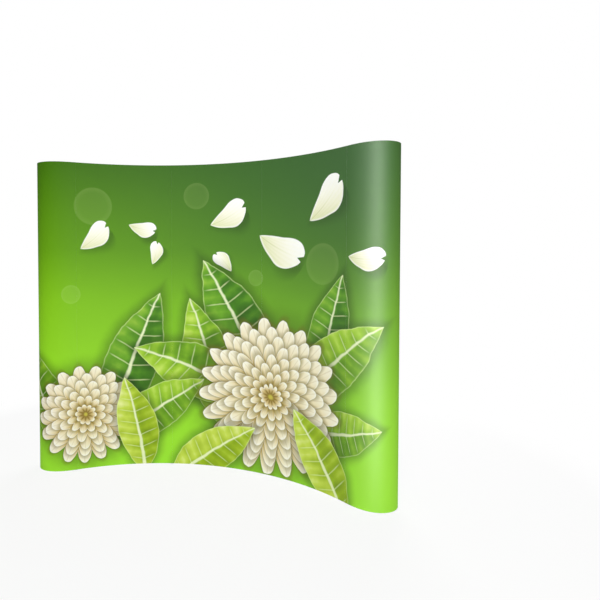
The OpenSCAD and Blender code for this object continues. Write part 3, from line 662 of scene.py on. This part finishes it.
def leaf(under, point, ruffle, place, turn, size, bend, tones, veins):
    """A pointed leaf with a midrib and side veins, growing from place at an angle of turn."""
    run, side = split(own_frame(point, place, turn, (size[0], size[1] / 2)))
    side = ruffle.scaled(0.16, (run * run).scaled(-bend, side))
    off = side.absolute()
    edge = run.curve(LEAF_OUTLINE) - off
    under = lay(under, SHADOW, edge.fade(-0.5, 0.15, 0.55))
    beat = off.scaled(-0.5, run * veins).zigzag()
    tone = beat.scaled(0.5, side.fade(-0.25, 0.25, 0.34))
    tone = run.scaled(0.2, edge.scaled(-0.16, tone))
    tone = ruffle.scaled(0.7, tone) + 0.12
    body = tone.ramp(LEAF_TONES[tones])
    body = lay(body, colour("e4f3b0"), beat.fade(0.07, 0.0, 0.62) * edge.fade(0.0, 0.35))
    midrib = off - run.scaled(-0.06, 0.085)
    body = lay(body, colour("f0f8cc"), midrib.fade(0.03, -0.03, 0.9))
    body = lay(body, colour("e2f4a8"), edge.fade(0.07, 0.0, 0.55))
    return lay(under, body, edge.fade(0.0, 0.015))


def blossom(under, point, ruffle, place, radius, petals, turn, rings):
    """A full blossom seen from above: rings of rounded petals, each over the one outside it."""
    own = own_frame(point, place, turn, (radius, radius))
    east, north = split(own)
    away = ruffle.scaled(0.1, length(own))
    angle = Worked.calc("ARCTAN2", north, east) * (0.5 / math.pi)
    under = lay(under, SHADOW, away.fade(1.3, 0.75, 0.6))
    for ring in range(rings):
        size = (1 - ring / rings) ** 0.85
        count = round(petals * (0.5 + 0.5 * size))
        across = angle.scaled(count, 0.5 * (ring % 2) + 0.13 * ring).zigzag()
        edge = (across ** 2.3).scaled(-1.25 * size, size) - away
        under = lay(under, colour("6e6420"), edge.fade(-0.1, 0.01, 0.5))
        tone = (across * across).scaled(-1.3, away.scaled(1.15 / size, -0.3))
        petal = tone.ramp(PETAL_TONES)
        petal = lay(petal, colour("bca468"), across.fade(0.045, 0.0, 0.3))
        petal = lay(petal, colour("fffef6"), edge.fade(0.045, 0.0, 0.75))
        under = lay(under, petal, edge.fade(0.0, 0.01))
    return lay(under, colour("c9bd4c"), away.fade(0.05, 0.02))


def drifting_petal(under, point, place, turn, size):
    """A loose cream petal, cupped along its middle, with a soft shadow on the ground below it."""
    fallen = split(own_frame(point, (place[0] + 0.02, place[1] - 0.03), turn, size))
    edge = fallen[0].curve(PETAL_OUTLINE) - fallen[1].absolute()
    under = lay(under, SHADOW, edge.fade(-0.25, 0.3, 0.4))
    run, side = split(own_frame(point, place, turn, size))
    side = (run * run).scaled(-0.3, side) + 0.08
    off = side.absolute()
    notched = off.scaled(1.2, 0.9) - run
    edge = Worked.calc("MINIMUM", run.curve(PETAL_OUTLINE) - off, notched * 1.4)
    veins = Worked.calc("ARCTAN2", side, run + 0.25).scaled(8.0, 0.0).zigzag()
    tone = veins.scaled(0.14, side.scaled(0.5, run.scaled(0.62, 0.3)))
    petal = tone.ramp(DRIFTING_TONES)
    petal = lay(petal, colour("ffffff"), edge.fade(0.1, 0.0, 0.8))
    petal = lay(petal, colour("c3cb86"), off.fade(0.03, 0.0, 0.45) * run.fade(0.85, 0.1))
    return lay(under, petal, edge.fade(0.0, 0.025))


def light_disc(under, point, place, radius, amount):
    """A soft out-of-focus disc of light with a brighter rim."""
    away = length(own_frame(point, place, 0, (radius, radius)))
    light = (away.fade(0.65, 1.0, amount * 0.8) + amount) * away.fade(1.0, 0.93)
    return lay(under, colour("dcf79a"), light)


def print_material():
    material = bpy.data.materials.new("print_laminate")
    material.use_nodes = True
    Worked.tree = material.node_tree
    point = Worked.node("ShaderNodeUVMap", {}, uv_map="print")
    along, up = split(point)
    noise = Worked.node("ShaderNodeTexNoise", {"Vector": point, "Scale": 9.0, "Detail": 2.0})
    ruffle = noise - 0.5

    picture = (up * (1 / PRINT_HEIGHT)).ramp(GROUND_TONES)
    shade = up.fade(0.1, 2.3, 0.92) * along.fade(-1.6, 1.2) * along.fade(1.75, 1.15)
    picture = lay(picture, TWILIGHT, shade)
    for disc in LIGHT_DISCS:
        picture = light_disc(picture, point, *disc)
    for drifting in DRIFTING_PETALS:
        picture = drifting_petal(picture, point, *drifting)
    for grown in LEAVES_BEHIND:
        picture = leaf(picture, point, ruffle, *grown)
    for opened in BLOSSOMS:
        picture = blossom(picture, point, ruffle, *opened)
    for grown in LEAVES_IN_FRONT:
        picture = leaf(picture, point, ruffle, *grown)

    laminate = Worked.tree.nodes["Principled BSDF"]
    picture.into(laminate.inputs["Base Color"])
    laminate.inputs["Roughness"].default_value = 0.68
    laminate.inputs["Specular IOR Level"].default_value = 0.1
    return material


def film_back_material():
    """The plain off-white back of the printed film, with a fine matt tooth."""
    material = bpy.data.materials.new("film_back")
    material.use_nodes = True
    Worked.tree = material.node_tree
    here = Worked.node("ShaderNodeTexCoord", {}, "Object")
    tooth = Worked.node("ShaderNodeTexNoise", {"Vector": here, "Scale": 900.0, "Detail": 2.0})
    film = Worked.tree.nodes["Principled BSDF"]
    film.inputs["Roughness"].default_value = 0.5
    film.inputs["Specular IOR Level"].default_value = 0.3
    tooth.ramp(((0.3, "cfd0cc"), (0.7, "d7d7d3"))).into(film.inputs["Base Color"])
    bump = Worked.node("ShaderNodeBump", {
        "Strength": 0.05, "Distance": FILM_RELIEF_DEPTH, "Height": tooth}, "Normal")
    bump.into(film.inputs["Normal"])
    return material


PRINT = print_material()
FILM_BACK = film_back_material()

# ---- Front panels ----
# Three sheets of stiff printed film, a millimetre thick and bent to the wall's arc, hang from the
# caps edge to edge on the magnetic bars. Off-white plastic rails and coated steel strips lie
# behind their edges.
GAP = 0.0002
FRONT_STEPS = 64
CREASE = math.radians(40)
RAIL_GRAIN = (500.0, 500.0, 500.0)
WHITE_RAIL = finish("white_rail", ("d3d4d2", "dededc"), (0.4, 0.5), RAIL_GRAIN, relief=0.05)
dress(WHITE_RAIL, ("panel_", "end_panel_"), "_rails")


def sheet_mesh(name, path, rows=24):
    """A standing sheet whose face follows path: (x, y, distance along the wall, face's way)."""
    vertices, faces, marks = [], [], []
    for layer in (0, 1):
        for x, y, _, out_x, out_y in path:
            for row in range(rows + 1):
                z = panel_low.z + (panel_high.z - panel_low.z) * row / rows
                vertices.append((x - out_x * SHEET * layer, y - out_y * SHEET * layer, z))
    tall = rows + 1

    def at(layer, step, row):
        return (layer * len(path) + step) * tall + row

    def face(mark, *corners):
        faces.append(corners)
        marks.append(mark)

    for step in range(len(path) - 1):
        for row in range(rows):
            face(0, at(0, step, row), at(0, step + 1, row), at(0, step + 1, row + 1),
                 at(0, step, row + 1))
            face(1, at(1, step, row), at(1, step, row + 1), at(1, step + 1, row + 1),
                 at(1, step + 1, row))
        face(1, at(0, step, 0), at(1, step, 0), at(1, step + 1, 0), at(0, step + 1, 0))
        face(1, at(0, step, rows), at(0, step + 1, rows), at(1, step + 1, rows),
             at(1, step, rows))
    last = len(path) - 1
    for row in range(rows):
        face(1, at(0, 0, row), at(0, 0, row + 1), at(1, 0, row + 1), at(1, 0, row))
        face(1, at(0, last, row), at(1, last, row), at(1, last, row + 1), at(0, last, row + 1))
    mesh = bpy.data.meshes.new(name)
    mesh.from_pydata(vertices, [], faces)
    mesh.polygons.foreach_set("material_index", marks)
    mesh.polygons.foreach_set("use_smooth", [True] * len(faces))
    print_map = mesh.uv_layers.new(name="print")
    for loop in mesh.loops:
        step = (loop.vertex_index // tall) % len(path)
        height = vertices[loop.vertex_index][2] - panel_low.z
        print_map.data[loop.index].uv = (path[step][2], height)
    mesh.materials.append(PRINT)
    mesh.materials.append(FILM_BACK)
    crisp = bmesh.new()
    crisp.from_mesh(mesh)
    for edge in crisp.edges:
        edge.smooth = edge.calc_face_angle(0) < CREASE
    crisp.to_mesh(mesh)
    crisp.free()
    return mesh


def hang(name, path, body, node):
    panel = bpy.data.objects.new(name, sheet_mesh(name, path))
    bpy.context.collection.objects.link(panel)
    printed_panels.objects.link(panel)
    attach(panel, body)
    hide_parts(node)


def front_path(middle):
    """The face of the panel whose middle is turned so far round the wall's centre."""
    reach = BAY / 2 - GAP / 2 / FACE_RADIUS
    path = []
    for step in range(FRONT_STEPS + 1):
        angle = middle + reach * (2 * step / FRONT_STEPS - 1)
        out_x, out_y = -math.sin(angle), -math.cos(angle)
        path.append((-out_x * FACE_RADIUS, -out_y * FACE_RADIUS + CENTRE_Y, angle * FACE_RADIUS,
                     out_x, out_y))
    return path


for bays_along, bay in enumerate(("left", "centre", "right")):
    hang(f"{bay}_print", front_path((bays_along - 1) * BAY), f"{bay}_panel", f"panel_{bay}")

# ---- End panels ----
# Two sheets of the same film wrap round the ends of the wall. Each lies flat on the front bar,
# bends round like a springy sheet and lies flat again on the rear bar.
BAR_HALF = 0.015
END_PANEL_WIDTH = 0.668
FRONT_LEAD = BAR_HALF - GAP / 2
REAR_LEAD = 2 * BAR_HALF
BEND_LENGTH = END_PANEL_WIDTH - FRONT_LEAD - REAR_LEAD
BEND_STEPS = 112
# how evenly it bends: 0 is a half circle, and 1 is flatter at the bars and tighter at the nose
BEND = 0.605


def bend_heading(share):
    return math.pi * share - BEND / 2 * math.sin(2 * math.pi * share)


def end_bend():
    """The end panel's face in the right end column's own frame, from the front edge."""
    y = -PANEL_BACK - SHEET
    steps = [(GAP / 2, y, 0.0, 0.0), (BAR_HALF, y, FRONT_LEAD, 0.0)]
    x, walked = BAR_HALF, FRONT_LEAD
    middle_y = y + SHEET / 2
    stride = BEND_LENGTH / BEND_STEPS
    for step in range(BEND_STEPS):
        turn = bend_heading((step + 0.5) / BEND_STEPS)
        x += stride * math.cos(turn)
        middle_y += stride * math.sin(turn)
        walked += stride
        turn = bend_heading((step + 1) / BEND_STEPS)
        steps.append((x + SHEET / 2 * math.sin(turn), middle_y - SHEET / 2 * math.cos(turn),
                      walked, turn))
    steps.append((x - REAR_LEAD, middle_y + SHEET / 2, walked + REAR_LEAD, math.pi))
    return steps


def end_path(hand):
    """The face of the left (-1) or right (1) end panel, from left to right."""
    lean = MIDDLE_COLUMN * BAY
    path = []
    for x, y, walked, turn in end_bend():
        wall_x, wall_y = in_plan(COLUMNS - 1, x, FRONT_RADIUS + y)
        path.append((hand * wall_x, wall_y, hand * (lean * FACE_RADIUS + walked),
                     hand * math.sin(turn - lean), -math.cos(turn - lean)))
    if hand < 0:
        path.reverse()
    return path


for wall_end, hand_of_end in (("left", -1), ("right", 1)):
    hang(f"{wall_end}_end_print", end_path(hand_of_end), f"{wall_end}_end_panel",
         f"end_panel_{wall_end}")
